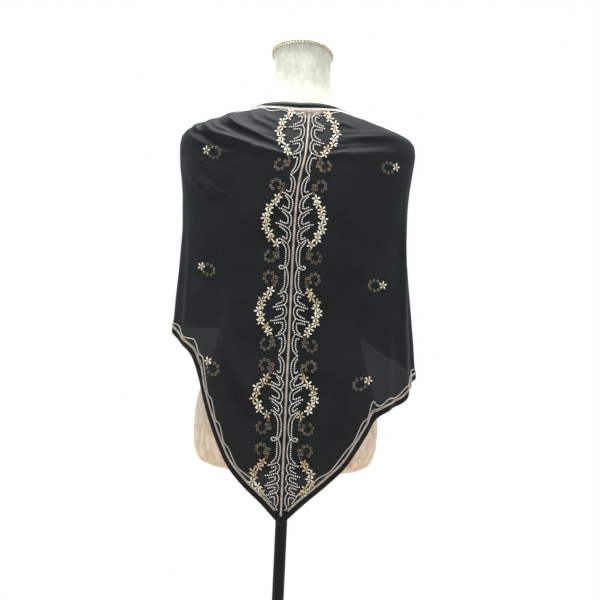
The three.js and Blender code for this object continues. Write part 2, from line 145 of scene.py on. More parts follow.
# Folds of the solids: from turn and height, to turn and height, half width and how far the ridge stands out
arcPerDegree = 2.9
mainFolds = [
    (-74, 1372, -6, 1290, 9, 9),
    (-66, 1386, -12, 1325, 8, 6),
    (-78, 1352, -30, 1290, 9, 6),
    (12, 1296, 52, 1316, 9, 5),
    (16, 1330, 66, 1352, 8, 4),
    (-74, 1290, -38, 1210, 12, 5),
    (-46, 1000, -16, 760, 15, 7),
    (-36, 1020, -8, 820, 13, 5),
    (-84, 1230, -72, 860, 14, 7),
    (74, 1250, 62, 760, 15, 9),
    (54, 1020, 45, 740, 12, 6),
    (90, 1150, 84, 760, 12, 7),
    (112, 1270, 120, 840, 18, 9),
    (-112, 1270, -120, 880, 18, 9),
    (136, 1250, 218, 1030, 16, 7),
    (140, 1160, 200, 1010, 14, 5),
    (-138, 1230, -176, 1060, 16, 6),
]

# Finer creases, listed in the same columns; a hollow has a negative height
fineCreases = [
    # Gathers from the tuck on the left shoulder to the spine
    (-82, 1366, -30, 1319, 3.6, 4.4),
    (-40, 1331, -13, 1303, 3.0, 3.2),
    (-42, 1294, -11, 1307, 3.2, 3.4),
    (-21, 1308, -1, 1291, 2.6, 4.0),
    (-52, 1376, -15, 1327, 2.6, 4.2),
    (-25, 1340, -4, 1308, 2.4, 3.4),
    (-40, 1382, -8, 1338, 2.6, 3.2),
    (-54, 1358, -19, 1316, 2.8, 2.8),
    (-62, 1368, -33, 1338, 2.4, 2.4),
    (-60, 1357, -41, 1335, 2.2, 1.8),
    (-31, 1353, -12, 1330, 2.2, 1.8),
    (-28, 1364, -10, 1346, 2.2, 1.6),
    (-45, 1345, -23, 1330, 2.2, 1.8),
    (-24, 1372, -9, 1354, 2.4, 1.6),
    (-68, 1364, -40, 1321, 4.6, -6.0),
    (-36, 1309, -15, 1296, 4.0, -3.0),
    (-32, 1371, -13, 1345, 2.8, -2.6),
    # Drag lines of the right shoulder
    (17, 1329, 46, 1341, 2.2, 1.9),
    (14, 1311, 25, 1319, 2.0, 2.0),
    (20, 1315, 40, 1326, 2.0, 1.5),
    (12, 1295, 25, 1306, 2.4, 3.0),
    (13, 1288, 24, 1298, 2.6, -2.2),
    (25, 1289, 48, 1302, 2.4, 2.0),
    (27, 1283, 46, 1294, 2.2, -1.2),
    (10, 1269, 18, 1275, 1.9, 1.3),
    (10, 1261, 17, 1266, 1.9, 1.1),
    (19, 1366, 31, 1352, 4.0, 2.4),
    (14, 1321, 27, 1328, 1.9, 1.5),
    (24, 1344, 52, 1353, 2.2, 1.3),
    (16, 1340, 31, 1346, 1.9, 1.3),
    (33, 1310, 54, 1318, 2.2, 1.1),
    (12, 1352, 26, 1360, 2.4, 1.6),
    # Short slants under the left shoulder
    (-56, 1291, -43, 1275, 2.0, 1.2),
    (-51, 1274, -37, 1257, 1.9, 1.3),
    (-48, 1263, -35, 1246, 1.9, 1.1),
    (-53, 1253, -39, 1235, 1.9, 1.3),
    (-46, 1241, -33, 1222, 1.9, 1.4),
    (-41, 1233, -29, 1217, 2.0, 1.1),
    (-34, 1282, -24, 1270, 2.0, 0.9),
    # Slack of the lower back
    (-35, 968, -11, 856, 6.5, 3.4),
    (-30, 894, -12, 766, 6.5, 3.6),
    (-25, 910, -13, 838, 4.5, 2.2),
    (-21, 838, -12, 778, 4.0, -2.0),
    (-52, 1090, -34, 990, 10, 2.0),
    (19, 905, 17, 768, 9, 2.2),
    (28, 985, 42, 868, 12, 3.0),
    (40, 1120, 34, 940, 14, 2.4),
    # Sides and front
    (-68, 1170, -60, 940, 9, 2.6),
    (-96, 1220, -94, 960, 10, 3.0),
    (68, 1120, 56, 820, 8, 3.0),
    (98, 1240, 100, 880, 10, 3.4),
    (78, 1080, 73, 820, 7, 2.6),
    (126, 1200, 170, 1020, 8, 2.4),
    (150, 1210, 226, 1024, 6, 2.2),
    (128, 1110, 190, 1000, 8, 2.0),
    (-130, 1240, -168, 1090, 8, 2.2),
    (-126, 1150, -150, 1000, 9, 2.4),
]


# A smooth curve through table values, with no overshoot between rows
def curveThrough(places, values):
    places, values = np.asarray(places, float), np.asarray(values, float)
    rise = np.diff(values) / np.diff(places)
    both = rise[:-1] * rise[1:]
    total = np.where(both > 0, rise[:-1] + rise[1:], 1)
    slope = np.concatenate([rise[:1], np.where(both > 0, 2 * both / total, 0), rise[-1:]])

    def at(place):
        place = np.asarray(place, float)
        i = np.clip(np.searchsorted(places, place) - 1, 0, len(rise) - 1)
        span = places[i + 1] - places[i]
        s = np.clip((place - places[i]) / span, 0, 1)
        bend = s * s * (3 - 2 * s)
        leave = s * (1 - s) ** 2 * span * slope[i]
        reach = s * s * (1 - s) * span * slope[i + 1]
        return values[i] + (values[i + 1] - values[i]) * bend + leave - reach

    return at


def smoothStep(value, low, high):
    s = np.clip((value - low) / (high - low), 0, 1)
    return s * s * (3 - 2 * s)


def columnCurves(rows, places=None):
    columns = list(zip(*rows))
    places = columns[0] if places is None else places
    return [curveThrough(places, column) for column in columns]


_, formSide, formBack, formFront = columnCurves(formSections)
shoulderRings = [
    (
        height + shoulder["lift"],
        side + shoulder["left"],
        side + shoulder["right"],
        back + shoulder["back"],
        front + shoulder["front"],
    )
    for height, side, back, front in formSections
    if height >= shoulder["fall"]
]
_, ringLeft, ringRight, ringBack, ringFront = columnCurves(hangingRings + shoulderRings)
stationCurves = {
    1: columnCurves(rightStations, range(tipStation + 1)),
    -1: columnCurves(leftStations, range(tipStation + 1)),
}


def unit(vectors):
    return vectors / np.maximum(np.linalg.norm(vectors, axis=-1, keepdims=True), 1e-9)


def envelopePoint(turn, height):
    across, behind = np.sin(np.radians(turn)), np.cos(np.radians(turn))
    side = np.where(across >= 0, ringRight(height), ringLeft(height))
    depth = np.where(behind >= 0, ringBack(height), ringFront(height))
    return np.stack([side * across, -depth * behind, np.broadcast_to(height, across.shape)], -1)


def surfaceNormal(pointAt, turn, height):
    along = pointAt(turn + 0.5, height) - pointAt(turn - 0.5, height)
    down = pointAt(turn, height - 1) - pointAt(turn, height + 1)
    return unit(np.cross(down, along))


# Soft ridges: each fades at both ends of its line
def ridges(table, turn, height):
    high = np.zeros(np.broadcast(turn, height).shape)
    for fromTurn, fromHeight, toTurn, toHeight, wide, out in table:
        runAcross, runUp = (toTurn - fromTurn) * arcPerDegree, toHeight - fromHeight
        long = math.hypot(runAcross, runUp)
        across = (np.mod(turn - fromTurn + 180, 360) - 180) * arcPerDegree
        up = height - fromHeight
        along = np.clip((across * runAcross + up * runUp) / long**2, 0, 1)
        aside = (across * runUp - up * runAcross) / (long * wide)
        high += out * np.exp(-aside * aside) * np.sin(np.pi * along)
    return high


# Slack that no fold explains: long uneven swells, a few tenths of a millimetre to a millimetre high
def slack(turn, height):
    arc = turn * arcPerDegree
    swell = np.sin(arc / 31 + height / 57) * np.sin(height / 83 - arc / 47)
    ripple = np.sin(arc / 9.7 + 1.3 * np.sin(height / 41)) * np.sin(height / 67 + 0.6)
    return 0.9 * (1 + swell) + 0.35 * (1 + ripple)


def surfacePoint(turn, height):
    turn, height = np.broadcast_arrays(np.asarray(turn, float), np.asarray(height, float))
    base = envelopePoint(turn, height)
    out = np.maximum(ridges(mainFolds, turn, height) + ridges(fineCreases, turn, height), 0)
    out = out + slack(turn, height) * smoothStep(1330 - height, 0, 60)
    return base + surfaceNormal(envelopePoint, turn, height) * out[..., None]


# station counts columns from the spine, + to the right; drop runs from 0 at the neck edge to 1 at the hem
def clothTurn(station, drop):
    place = np.abs(station)
    columns = [
        np.where(station < 0, left(place), right(place))
        for left, right in zip(stationCurves[-1], stationCurves[1])
    ]
    topTurn, topHeight, hemTurn, hemHeight = columns
    turn = hemTurn + (topTurn - hemTurn) * np.exp(-drop / fanFade)
    share = drop * (topStep + (1 - topStep) * drop)
    return np.where(station < 0, -1, 1) * turn, topHeight + (hemHeight - topHeight) * share


def clothPoint(station, drop):
    station, drop = np.broadcast_arrays(np.asarray(station, float), np.asarray(drop, float))
    turn, height = clothTurn(station, drop)
    lift = crossing["lift"] * smoothStep(station, crossing["start"], crossing["end"])
    return surfacePoint(turn, height) + surfaceNormal(envelopePoint, turn, height) * lift[..., None]


def clothNormal(station, drop):
    step = 0.01
    across = clothPoint(station + step, drop) - clothPoint(station - step, drop)
    down = clothPoint(station, drop + step) - clothPoint(station, drop - step)
    return unit(np.cross(down, across))


# Share of a column that a strip of this width takes, square to the neck edge (0) or the hem (1)
def stripShare(station, edge, wide):
    step = 0.02
    outward = np.where(station < 0, -step, step)
    along = unit(clothPoint(station + outward, edge) - clothPoint(station, edge))
    inside = edge - step if edge > 0.5 else edge + step
    down = clothPoint(station, inside) - clothPoint(station, edge)
    square = np.linalg.norm(np.cross(down, along), axis=-1)
    return np.clip(wide * step / np.maximum(square, 1e-6), 0, 0.49)


def edgeDrop(station, edge, wide):
    share = stripShare(station, edge, wide)
    return 1 - share if edge > 0.5 else share


def colour(hexText, alpha=1.0):
    channels = [int(hexText[i : i + 2], 16) / 255 for i in (1, 3, 5)]
    return tuple(c / 12.92 if c <= 0.04045 else ((c + 0.055) / 1.055) ** 2.4 for c in channels) + (alpha,)


def addNode(tree, kind, settings=None, links=None):
    node = tree.nodes.new(kind)
    for name, value in (settings or {}).items():
        if name in node.inputs:
            node.inputs[name].default_value = value
        else:
            setattr(node, name, value)
    for name, source in (links or {}).items():
        tree.links.new(source, node.inputs[name])
    return node


# A surface whose colour wanders between two shades in patches of a real size, with a fine bump
def makeMaterial(name, look):
    material = bpy.data.materials.new(name)
    material.use_nodes = True
    tree = material.node_tree
    tree.nodes.clear()
    place = addNode(tree, "ShaderNodeTexCoord")
    stretch = addNode(
        tree,
        "ShaderNodeMapping",
        {"Scale": look.get("stretch", (1, 1, 1))},
        {"Vector": place.outputs["Object"]},
    )
    where = {"Vector": stretch.outputs["Vector"]}
    patches = addNode(
        tree, "ShaderNodeTexNoise", {"Scale": 1000 / look["patchMm"], "Detail": 4.0, "Roughness": 0.6}, where
    )
    shades = []
    for low, high in [(look["low"], look["high"]), *look.get("paintedShadeBelow", [])]:
        ramp = addNode(tree, "ShaderNodeValToRGB", None, {"Fac": patches.outputs["Fac"]})
        ramp.color_ramp.elements[0].position = 0.35
        ramp.color_ramp.elements[1].position = 0.65
        ramp.color_ramp.elements[0].color = colour(low)
        ramp.color_ramp.elements[1].color = colour(high)
        shades.append(ramp.outputs["Color"])
    # Below the given height range the colour mixes into the second pair of shades: painted shade, darker
    # toward the bottom of the piece
    if "paintedShadeFadeMm" in look:
        height = addNode(tree, "ShaderNodeSeparateXYZ", None, {"Vector": place.outputs["Object"]})
        low, high = (edge * metresPerMm for edge in look["paintedShadeFadeMm"])
        fade = addNode(
            tree, "ShaderNodeMapRange", {"From Min": low, "From Max": high}, {"Value": height.outputs["Z"]}
        )
        mixed = addNode(
            tree,
            "ShaderNodeMixRGB",
            None,
            {"Fac": fade.outputs["Result"], "Color1": shades[1], "Color2": shades[0]},
        )
        shades = [mixed.outputs["Color"]]
    grain = addNode(tree, "ShaderNodeTexNoise", {"Scale": 1000 / look["grainMm"], "Detail": 2.0}, where)
    bump = addNode(
        tree,
        "ShaderNodeBump",
        {"Strength": look["bump"], "Distance": look["grainMm"] * metresPerMm * 0.5},
        {"Height": grain.outputs["Fac"]},
    )
    shader = addNode(
        tree,
        "ShaderNodeBsdfPrincipled",
        look["shader"],
        {"Base Color": shades[0], "Normal": bump.outputs["Normal"]},
    )
    addNode(tree, "ShaderNodeOutputMaterial", None, {"Surface": shader.outputs["BSDF"]})
    return material


def meshPiece(name, points, faces, material, smooth=True):
    mesh = bpy.data.meshes.new(name)
    mesh.from_pydata((np.asarray(points).reshape(-1, 3) * metresPerMm).tolist(), [], faces)
    mesh.update()
    mesh.polygons.foreach_set("use_smooth", [smooth] * len(mesh.polygons))
    mesh.materials.append(material)
    piece = bpy.data.objects.new(name, mesh)
    bpy.context.scene.collection.objects.link(piece)
    return piece


def settle(piece, slotName, *nodes):
    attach(piece, "root")
    if nodes:
        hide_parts(*nodes)
    return piece


# Faces of a grid of rows by columns, counted from first; closed joins the last column to the first
def gridFaces(rows, columns, first=0, closed=False, flip=False):
    i, j = np.meshgrid(np.arange(rows - 1), np.arange(columns if closed else columns - 1), indexing="ij")
    near, far = j % columns, (j + 1) % columns
    low, high = i * columns, (i + 1) * columns
    quads = np.stack([low + near, low + far, high + far, high + near], -1).reshape(-1, 4) + first
    return (quads[:, ::-1] if flip else quads).tolist()


# One mesh of many copies of a small shape, each with its own centre, three axes and three half sizes
def scatter(name, shape, centres, axes, sizes, material):
    points, faces = shape
    scaled = points[None] * sizes[:, None, :]
    placed = np.einsum("nki,nij->nkj", scaled, axes) + centres[:, None, :]
    count = len(points)
    allFaces = [[v + i * count for v in face] for i in range(len(centres)) for face in faces]
    return meshPiece(name, placed.reshape(-1, 3), allFaces, material)


def ballShape(around, up):
    points = [(0, 0, 1)]
    for i in range(1, up):
        for k in range(around):
            a, b = 2 * math.pi * (k + 0.5 * (i % 2)) / around, math.pi * i / up
            points.append((math.sin(b) * math.cos(a), math.sin(b) * math.sin(a), math.cos(b)))
    points.append((0, 0, -1))
    last = len(points) - 1
    faces = [[0, 1 + k, 1 + (k + 1) % around] for k in range(around)]
    for i in range(up - 2):
        for k in range(around):
            a, b = 1 + i * around + k, 1 + i * around + (k + 1) % around
            faces.append([a, a + around, b + around, b])
    base = 1 + (up - 2) * around
    faces += [[last, base + (k + 1) % around, base + k] for k in range(around)]
    return np.array(points, float), faces


def ringShape(around, up, thick):
    points, faces = [], []
    for i in range(around):
        for k in range(up):
            a, b = 2 * math.pi * i / around, 2 * math.pi * k / up
            r = 1 - thick + thick * math.cos(b)
            points.append((r * math.cos(a), r * math.sin(a), thick * math.sin(b)))
            a0, b0 = i * up, ((i + 1) % around) * up
            faces.append([a0 + k, b0 + k, b0 + (k + 1) % up, a0 + (k + 1) % up])
    return np.array(points, float), faces


# Frames on the cloth's outer face: right along it, up along it, and straight out
def clothFrames(turn, height):
    out = surfaceNormal(surfacePoint, turn, height)
    up = np.broadcast_to([0.0, 0.0, 1.0], out.shape)
    right = unit(np.cross(up, out))
    return np.stack([right, np.cross(out, right), out], -2)


# Turn at which a point of the back lies this far to the right of the pole's axis
def turnAcross(across, height):
    most = 0.985  # share of the half width, short of the side itself
    side = np.where(across >= 0, ringRight(height), ringLeft(height))
    return np.degrees(np.arcsin(np.clip(across / side, -most, most)))


chiffonHalf = 0.25  # half the cloth's thickness
bindingWide = 9

# Black silk chiffon: a soot black that is nearly opaque doubled, lets a little white through single, and goes
# greyish blue where light grazes it
chiffonLook = {
    "low": "#101416",
    "high": "#191e20",
    "patchMm": 60,
    "grainMm": 0.7,
    "bump": 0.25,
    "shader": {
        "Roughness": 0.7,
        "Specular IOR Level": 0.18,
        "Sheen Weight": 0.16,
        "Sheen Roughness": 0.4,
        "Sheen Tint": colour("#86a0aa"),
        "Alpha": 0.885,
    },
}
chiffon = makeMaterial("silk_chiffon_black", chiffonLook)


def makeChiffon():
    cloth = {"columns": 372, "rows": 118, "tuck": 0.8, "evenAcross": 0.62, "evenDown": 0.7}
    spread = np.linspace(-1, 1, cloth["columns"])
    # closer columns over the back and closer rows over the shoulders, where the fine creases are
    station = tipStation * (cloth["evenAcross"] * spread + (1 - cloth["evenAcross"]) * spread**3)
    top = edgeDrop(station, 0, bindingWide * cloth["tuck"])
    bottom = edgeDrop(station, 1, bindingWide * cloth["tuck"])
    share = np.linspace(0, 1, cloth["rows"])
    share = cloth["evenDown"] * share + (1 - cloth["evenDown"]) * share**2
    drop = top[:, None] + (bottom - top)[:, None] * share[None, :]
    stations = np.broadcast_to(station[:, None], drop.shape)
    middle = clothPoint(stations, drop)
    normal = clothNormal(stations, drop)
    outer = (middle + normal * chiffonHalf).reshape(-1, 3)
    inner = (middle - normal * chiffonHalf).reshape(-1, 3)
    columns, rows = drop.shape
    count = columns * rows
    faces = gridFaces(columns, rows) + gridFaces(columns, rows, count, flip=True)
    rim = [i * rows for i in range(columns)]
    rim += [(columns - 1) * rows + j for j in range(1, rows)]
    rim += [i * rows + rows - 1 for i in range(columns - 2, -1, -1)]
    rim += list(range(rows - 2, 0, -1))
    faces += [[b, a, a + count, b + count] for a, b in zip(rim, rim[1:] + rim[:1])]
    piece = meshPiece("stole_chiffon", np.concatenate([outer, inner]), faces, chiffon)
    return settle(piece, "chiffon", "chiffon_back", "chiffon_right_end", "chiffon_left_end")


stoleSheet = makeChiffon()
print("chiffon", len(stoleSheet.data.polygons))

# Black satin ribbon folded over the edge: a closer, deeper black than the chiffon with a soft line of light
satinLook = {
    "low": "#030303",
    "high": "#060607",
    "patchMm": 12,
    "grainMm": 0.8,
    "bump": 0.15,
    "shader": {"Roughness": 0.55, "Specular IOR Level": 0.2, "Sheen Weight": 0.06, "Sheen Roughness": 0.4},
}
satin = makeMaterial("satin_ribbon_black", satinLook)
# Its folded section, as distances in from the edge and out from the cloth; mitre is half the gap at the point
ribbon = {
    "steps": 420,
    "mitre": 0.004,
    "outside": [(0, 0), (0.5, 0.75), (4.5, 0.95), (8.5, 0.7)],
    "inside": [(bindingWide, 0), (8.5, -0.7), (4.5, -0.95), (0.5, -0.75)],
}


def makeRibbon(name, node, edge, first, last):
    station = np.linspace(first, last, ribbon["steps"])
    columns = []
    for inward, out in ribbon["outside"] + ribbon["inside"]:
        drop = edgeDrop(station, edge, inward)
        columns.append(clothPoint(station, drop) + clothNormal(station, drop) * out)
    points = np.stack(columns, 1)
    count, around = points.shape[:2]
    faces = gridFaces(count, around, closed=True, flip=edge > 0.5)
    ends = [list(range(around)), list(range((count - 1) * around, count * around))[::-1]]
    faces += [end[::-1] if edge > 0.5 else end for end in ends]
    return settle(meshPiece(name, points, faces, satin), "satin_binding", node)


ribbonNeck = makeRibbon("ribbon_neck_edge", "binding_neck_edge", 0, -tipStation, tipStation)
ribbonRight = makeRibbon("ribbon_hem_right", "binding_hem_right", 1, ribbon["mitre"], tipStation)
ribbonLeft = makeRibbon("ribbon_hem_left", "binding_hem_left", 1, -tipStation, -ribbon["mitre"])
print("ribbons made")

# Silver-lined glass seed beads: near white, with a glint on each
silverLook = {
    "low": "#d6d3c8",
    "high": "#f7f5ee",
    "patchMm": 5,
    "grainMm": 0.6,
    "bump": 0.1,
    "shader": {"Metallic": 0.15, "Roughness": 0.3, "Specular IOR Level": 0.6},
}
# Rose-gold bugle beads of the spine and the hem: a warmer, duller line
roseLook = {
    "low": "#a79888",
    "high": "#dacfc1",
    "patchMm": 4,
    "grainMm": 0.6,
    "bump": 0.1,
    "shader": {"Metallic": 0.25, "Roughness": 0.32, "Specular IOR Level": 0.6},
}
# Mauve bugle beads of the nape: the darkest of the beads
mauveLook = {
    "low": "#776963",
    "high": "#b5a59c",
    "patchMm": 4,
    "grainMm": 0.6,
    "bump": 0.1,
    "shader": {"Metallic": 0.25, "Roughness": 0.35, "Specular IOR Level": 0.5},
}
# Ivory pearl petals: the brightest spots of the work, with a milky shine
ivoryLook = {
    "low": "#cfc5a6",
    "high": "#f5f0de",
    "patchMm": 6,
    "grainMm": 0.8,
    "bump": 0.08,
    "shader": {"Metallic": 0.05, "Roughness": 0.25, "Specular IOR Level": 0.6, "Coat Weight": 0.4},
}
# Gold-foiled petals: a pale honey that darkens at its edges
goldLook = {
    "low": "#ab956b",
    "high": "#e4d5b3",
    "patchMm": 6,
    "grainMm": 0.8,
    "bump": 0.08,
    "shader": {"Metallic": 0.35, "Roughness": 0.28, "Specular IOR Level": 0.6},
}
# Bronze rings: dull, with only a thin rim of light
bronzeLook = {
    "low": "#5c5344",
    "high": "#a3967d",
    "patchMm": 5,
    "grainMm": 0.6,
    "bump": 0.1,
    "shader": {"Metallic": 0.5, "Roughness": 0.35, "Specular IOR Level": 0.5},
}
silverBeads = makeMaterial("seed_bead_silver", silverLook)
roseBeads = makeMaterial("bugle_bead_rose_gold", roseLook)
mauveBeads = makeMaterial("bugle_bead_mauve", mauveLook)
ivoryPetals = makeMaterial("petal_bead_ivory", ivoryLook)
goldPetals = makeMaterial("petal_bead_gold", goldLook)
bronzeRings = makeMaterial("ring_bead_bronze", bronzeLook)

ring = {"radius": 2.6, "thick": 0.2}  # thick is a share of the radius
seedBall = ballShape(6, 4)
petalBall = ballShape(8, 6)
ringBead = ringShape(14, 5, ring["thick"])
beadSink = 0.8  # a seed bead's middle stands this share of its radius off the cloth

# The spine leans to the right of the axis at the nape and comes back to it below the shoulder blades
spineShift = curveThrough((660, 1100, 1180, 1230, 1262, 1300, 1340, 1400), (0, 0, 1, 3, 7, 14, 16, 17))
spineTop, spineEnd = 1374, 684

# Bead motifs down the back: middle height, half height, bulge and end of the left garland and of the right
# one, and the share of gold flowers
motifs = [
    (1337, 39, 48, 29, 49, 30, 0.06),
    (1182, 40, 49, 30, 47, 31, 0.12),
    (1028, 36, 52, 33, 46, 29, 0.35),
    (885, 32, 52, 33, 47, 27, 0.50),
    (748, 26, 50, 33, 47, 33, 0.60),
]
# Side sprigs: how far right of the axis, height, and the angle of the wreath's long side
sprigs = [
    (-144, 1298, -18),
    (-145, 1094, -25),
    (-126, 925, -55),
    (159, 1287, -14),
    (143, 1080, -4),
    (124, 910, -26),
]


def placeBeads(across, height, out):
    across, height = np.asarray(across, float), np.asarray(height, float)
    turn = turnAcross(across, height)
    axes = clothFrames(turn, height)
    return surfacePoint(turn, height) + axes[:, 2] * out, axes


def sizesOf(count, size):
    return np.broadcast_to(np.asarray(size, float), (count, 3))


def lengthAlong(path):
    return np.concatenate([[0], np.cumsum(np.linalg.norm(np.diff(path, axis=0), axis=1))])


# Even steps along a path of (across, height) points
def evenSteps(path, pitch):
    length = lengthAlong(path)
    steps = np.arange(pitch / 2, length[-1], pitch)
    return np.stack([np.interp(steps, length, path[:, k]) for k in range(2)], 1)


def makeSpine():
    spine = {"pitch": 1.75, "halfWide": 2.4, "halfHigh": 0.8}
    height = np.arange(spineTop, spineEnd, -spine["pitch"])
    centres, axes = placeBeads(spineShift(height), height, chiffonHalf + spine["halfHigh"])
    sizes = sizesOf(len(height), (spine["halfWide"], spine["halfHigh"], spine["halfHigh"]))
    piece = scatter("bead_spine_rows", seedBall, centres, axes, sizes, roseBeads)
    return settle(piece, "beadwork", "bead_spine")


# Scalloped rows beside the spine: how far out the near and far rows run, the cusps of a motif as shares of
# its half height with the reach of the tine there, how far the tines of every other motif droop or rise, and
# how sharply each row turns out to a cusp
bones = {
    "near": 5.9,
    "cusp": 10.4,
    "far": 11.6,
    "places": [(0.97, 24), (0.34, 30), (-0.33, 31), (-0.98, 25)],
    "droop": -5,
    "rise": 8,
    "apart": 4.5,
    "shorter": 5.5,
    "point": 16,
    "wander": 1.6,
    "nearTurn": 2.5,
    "pointTurn": 2.6,
    "tineTurn": 6,
    "leastFlare": 0.8,
    "tineGap": 0.6,
    "tailCusps": [(14, 15), (-2, 12)],
}


# Each cusp: height, how far out the near row goes there, reach of the tine, its rise, and what stands there
def cuspList():
    cusps = []
    for i, (middle, half, *_) in enumerate(motifs):
        rise = bones["rise"] if i % 2 else bones["droop"]
        for k, (place, reach) in enumerate(bones["places"]):
            wander = math.sin(2.3 * k + 1.9 * i)
            reach += bones["wander"] * wander
            cusps.append((middle + place * half + wander, bones["cusp"], reach, rise, "tine"))
        if i + 1 < len(motifs):
            below = motifs[i + 1]
            height = (middle - half + below[0] + below[1]) / 2
            if i % 2:
                cusps.append((height, bones["cusp"], bones["point"], 0, "leaf"))
            else:
                cusps.append((height, bones["point"], bones["point"] + 6, 0, "point"))
    for above, reach in bones["tailCusps"]:
        cusps.append((spineEnd + above, bones["cusp"], reach, 0, "tine"))
    return cusps


def besideSpine(hand, across, height):
    return np.stack([spineShift(height) + hand * across, height], 1)


# The two nested rows from one cusp down to the next
def scallop(hand, upper, lower):
    middle, half = (upper[0] + lower[0]) / 2, (upper[0] - lower[0]) / 2
    w = np.linspace(-1, 1, 81)
    cusp, reach, rise = (np.where(w < 0, upper[k], lower[k]) for k in (1, 2, 3))
    near = bones["near"] + (cusp - bones["near"]) * np.abs(w) ** bones["nearTurn"]
    flare = np.abs(w) ** np.where(cusp > bones["cusp"], bones["pointTurn"], bones["tineTurn"])
    far = bones["far"] + np.maximum(reach - bones["shorter"] - bones["far"], bones["leastFlare"]) * flare
    inner = middle - w * (half - bones["apart"]) + rise * flare
    return [besideSpine(hand, near, middle - w * half), besideSpine(hand, far, inner)]


def tineRow(hand, height, reach, rise):
    s = np.linspace(0, 1, 16)
    across = bones["cusp"] + bones["tineGap"] + (reach - bones["cusp"]) * s
    return besideSpine(hand, across, height + rise * np.sin(s * np.pi / 2))


def leafLoop(hand, height):
    leaf = {"out": 6.4, "halfLong": 5, "halfWide": 2.7, "blunt": 0.35}
    a = np.linspace(0, 2 * np.pi, 24)
    across = bones["cusp"] + leaf["out"] + leaf["halfLong"] * np.cos(a)
    up = leaf["halfWide"] * np.sin(a) * (1 + leaf["blunt"] * np.cos(a))
    return besideSpine(hand, across, height + up)


def frondPaths():
    cusps = cuspList()
    paths = []
    for hand in (-1, 1):
        for upper, lower in zip(cusps, cusps[1:]):
            paths += scallop(hand, upper, lower)
        for height, _, reach, rise, kind in cusps:
            if kind == "tine":
                paths.append(tineRow(hand, height, reach, rise))
            if kind == "leaf":
                paths.append(leafLoop(hand, height))
    return paths


def insideHem(points):
    hem = {"point": 666, "slope": 1.02, "clear": 19}
    return np.abs(points[:, 0]) < (points[:, 1] - hem["point"]) / hem["slope"] - hem["clear"]


def makeFronds():
    bead = {"pitch": 3.3, "radius": 1.2}
    points = np.concatenate([evenSteps(path, bead["pitch"]) for path in frondPaths()])
    points = points[insideHem(points)]
    centres, axes = placeBeads(points[:, 0], points[:, 1], chiffonHalf + bead["radius"] * beadSink)
    piece = scatter("bead_fronds", seedBall, centres, axes, sizesOf(len(points), bead["radius"]), silverBeads)
    return settle(piece, "beadwork")


flower = {
    "pitch": 9.2,
    "spread": 0.97,
    "wander": 1.7,
    "petals": 5,
    "reach": 4.7,
    "half": (3.2, 1.4, 1.0),
    "heart": 1.2,
    "sprigReach": 14.5,
    "sprigTurn": 20,
}


# Middle, tint and first petal's angle of every flower: the garlands, then one at the outer end of each sprig
def flowerList():
    flowers = []
    for middle, half, leftBulge, leftEnd, rightBulge, rightEnd, gold in motifs:
        count = round(2 * half / flower["pitch"]) + 1
        for hand, bulge, end in ((-1, leftBulge, leftEnd), (1, rightBulge, rightEnd)):
            for k in range(count):
                w = -1 + 2 * k / (count - 1)
                height = middle - w * half * flower["spread"]
                wander = flower["wander"] * (-1) ** k
                across = spineShift(height) + hand * (end + (bulge - end) * (1 - w * w) + wander)
                isGold, turn = seed.random() < gold, seed.random() * 360 / flower["petals"]
                flowers.append((float(across), height, isGold, turn))
    for across, height, angle in sprigs:
        hand = -1 if across < 0 else 1
        a = math.radians(angle)
        outward = hand * flower["sprigReach"] * math.cos(a)
        down = flower["sprigReach"] * math.sin(a)
        flowers.append((across + outward, height - down, False, flower["sprigTurn"] + angle))
    return flowers


def makeFlowers():
    spots, tints, hearts = [], [], []
    for across, height, gold, phase in flowerList():
        for k in range(flower["petals"]):
            angle = math.radians(phase + 360 * k / flower["petals"])
            x = across + flower["reach"] * math.cos(angle)
            spots.append((x, height + flower["reach"] * math.sin(angle), angle))
            tints.append(gold)
        hearts.append((across, height))
    spots, tints, hearts = np.array(spots), np.array(tints), np.array(hearts)
    made = []
    for name, pick, material in (
        ("flower_petals_ivory", ~tints, ivoryPetals),
        ("flower_petals_gold", tints, goldPetals),
    ):
        across, height, angle = spots[pick].T
        centres, axes = placeBeads(across, height, chiffonHalf + flower["half"][2])
        along = np.cos(angle)[:, None] * axes[:, 0] + np.sin(angle)[:, None] * axes[:, 1]
        turned = np.stack([along, np.cross(axes[:, 2], along), axes[:, 2]], 1)
        piece = scatter(name, petalBall, centres, turned, sizesOf(len(angle), flower["half"]), material)
        made.append(settle(piece, "beadwork"))
    centres, axes = placeBeads(hearts[:, 0], hearts[:, 1], chiffonHalf + flower["heart"])
    sizes = sizesOf(len(hearts), flower["heart"])
    piece = scatter("flower_hearts", seedBall, centres, axes, sizes, goldPetals)
    made.append(settle(piece, "beadwork"))
    return made


